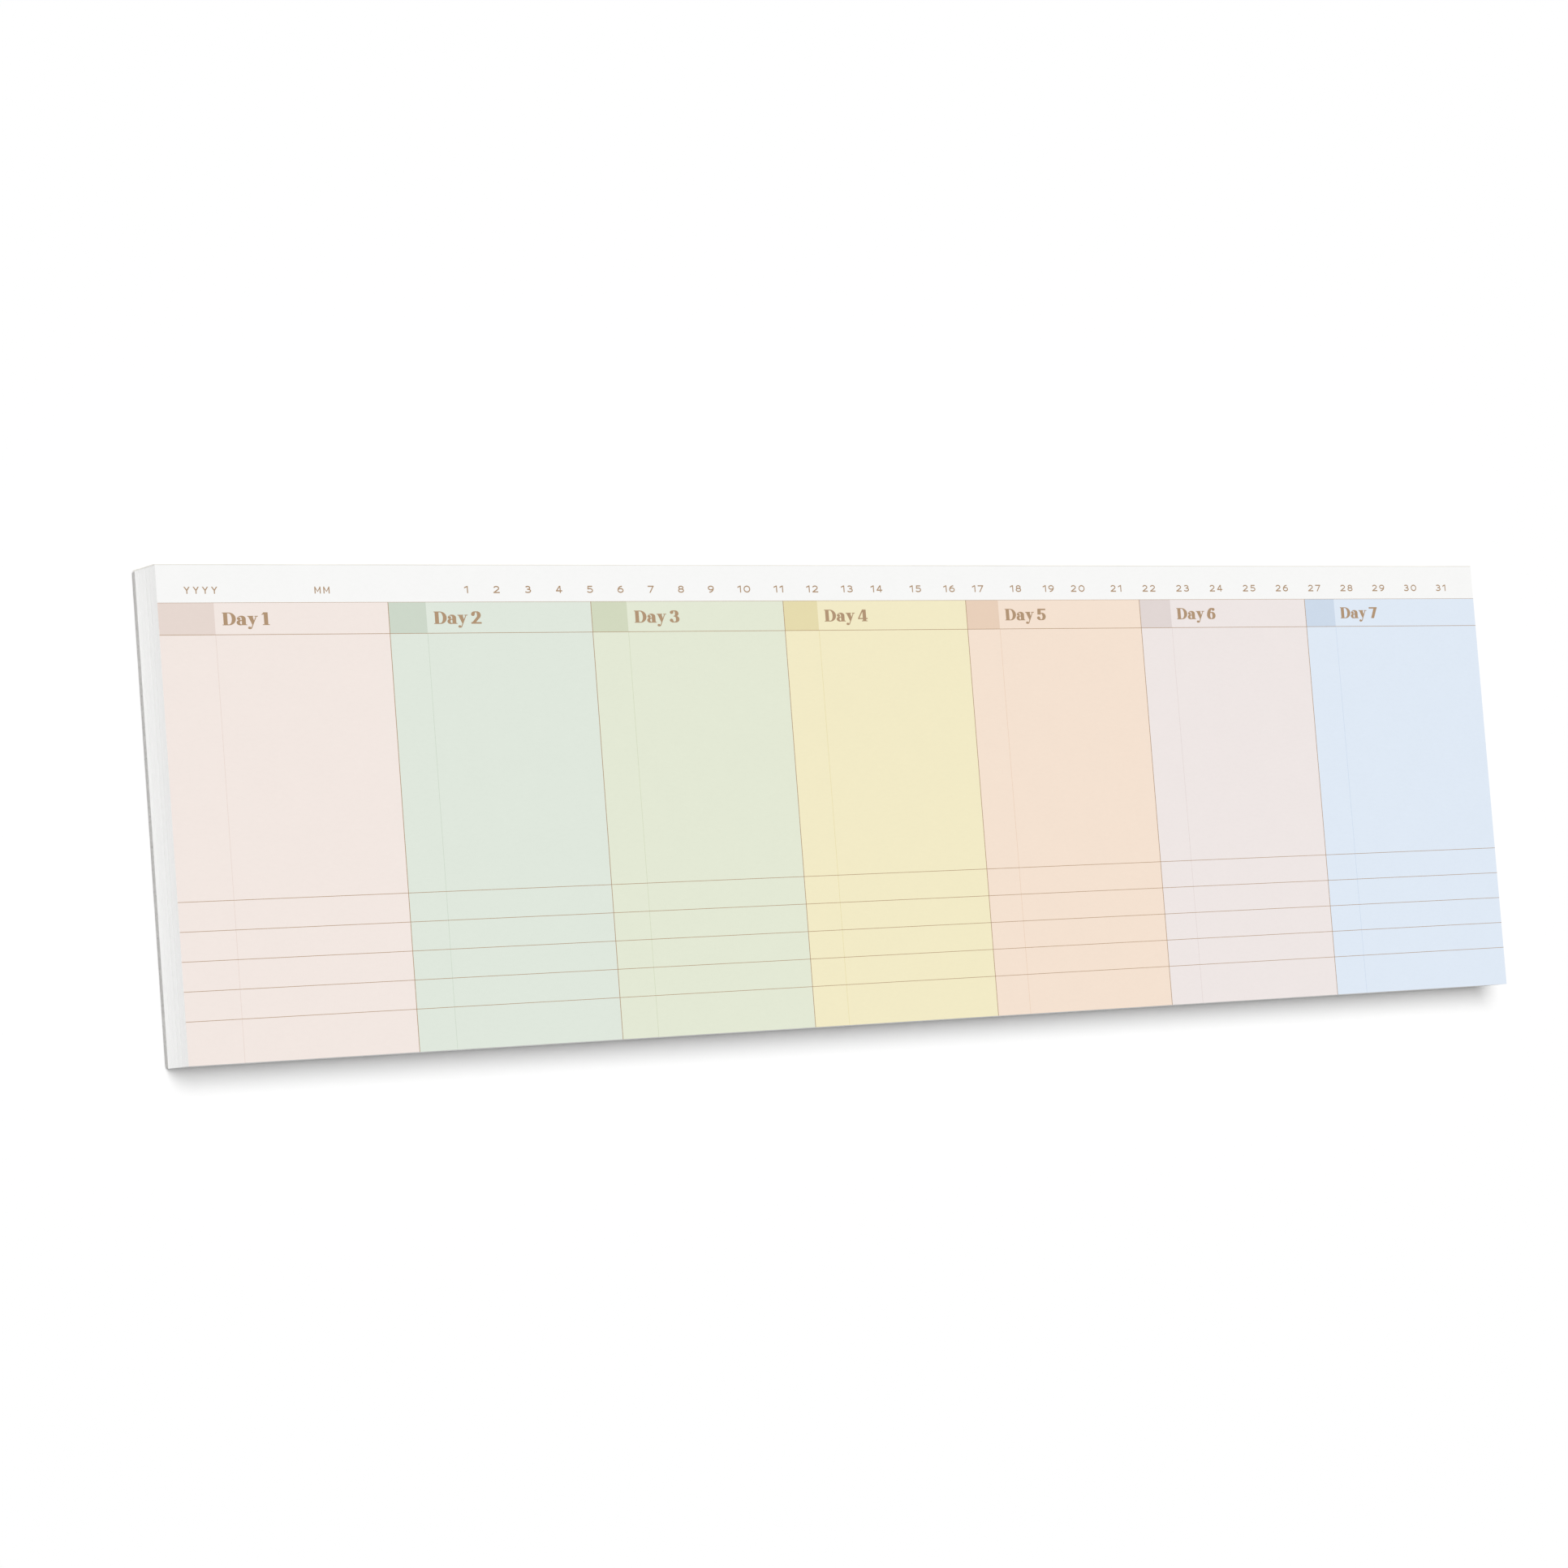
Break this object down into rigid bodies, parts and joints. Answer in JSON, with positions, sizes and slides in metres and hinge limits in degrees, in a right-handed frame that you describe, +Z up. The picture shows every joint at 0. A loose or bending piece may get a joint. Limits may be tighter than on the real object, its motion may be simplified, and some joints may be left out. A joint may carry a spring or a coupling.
{
  "type": "weekly planner pad",
  "caption": "Landscape tear-off desk pad with a column for each day of the week, glued along its top edge to a greyboard back; the top sheet turns over.",
  "frame": {"origin": "centre of the underside of the backing board, on the desk", "axes": "+X along the long side in the reading direction, +Y up the page to the glued edge, +Z up out of the printed face"},
  "size_m": [0.35, 0.1004, 0.0104],
  "materials": {
    "greyboard": "matte",
    "sheet_paper": "matte",
    "padding_glue": "satin"
  },
  "bodies": {
    "pad_block": {"backing_board": "greyboard", "glue_strip": "padding_glue", "week_sheet_02": "sheet_paper", "week_sheet_03": "sheet_paper", "week_sheet_04": "sheet_paper", "week_sheet_05": "sheet_paper", "week_sheet_06": "sheet_paper", "week_sheet_07": "sheet_paper", "week_sheet_08": "sheet_paper", "week_sheet_09": "sheet_paper", "week_sheet_10": "sheet_paper", "week_sheet_11": "sheet_paper", "week_sheet_12": "sheet_paper", "week_sheet_13": "sheet_paper", "week_sheet_14": "sheet_paper", "week_sheet_15": "sheet_paper", "week_sheet_16": "sheet_paper", "week_sheet_17": "sheet_paper", "week_sheet_18": "sheet_paper", "week_sheet_19": "sheet_paper", "week_sheet_20": "sheet_paper", "week_sheet_21": "sheet_paper", "week_sheet_22": "sheet_paper", "week_sheet_23": "sheet_paper", "week_sheet_24": "sheet_paper", "week_sheet_25": "sheet_paper", "week_sheet_26": "sheet_paper", "week_sheet_27": "sheet_paper", "week_sheet_28": "sheet_paper", "week_sheet_29": "sheet_paper", "week_sheet_30": "sheet_paper", "week_sheet_31": "sheet_paper", "week_sheet_32": "sheet_paper", "week_sheet_33": "sheet_paper", "week_sheet_34": "sheet_paper", "week_sheet_35": "sheet_paper", "week_sheet_36": "sheet_paper", "week_sheet_37": "sheet_paper", "week_sheet_38": "sheet_paper", "week_sheet_39": "sheet_paper", "week_sheet_40": "sheet_paper", "week_sheet_41": "sheet_paper", "week_sheet_42": "sheet_paper", "week_sheet_43": "sheet_paper", "week_sheet_44": "sheet_paper", "week_sheet_45": "sheet_paper", "week_sheet_46": "sheet_paper", "week_sheet_47": "sheet_paper", "week_sheet_48": "sheet_paper", "week_sheet_49": "sheet_paper", "week_sheet_50": "sheet_paper", "week_sheet_51": "sheet_paper", "week_sheet_52": "sheet_paper"},
    "top_sheet": {"week_sheet_01": "sheet_paper"}
  },
  "joints": [
    {"name": "leaf_turn", "type": "hinge", "parent": "pad_block", "child": "top_sheet", "pos_m": [0, 0.04984, 0.0104], "axis": [-1, 0, 0], "range_deg": [0, 175]}
  ]
}
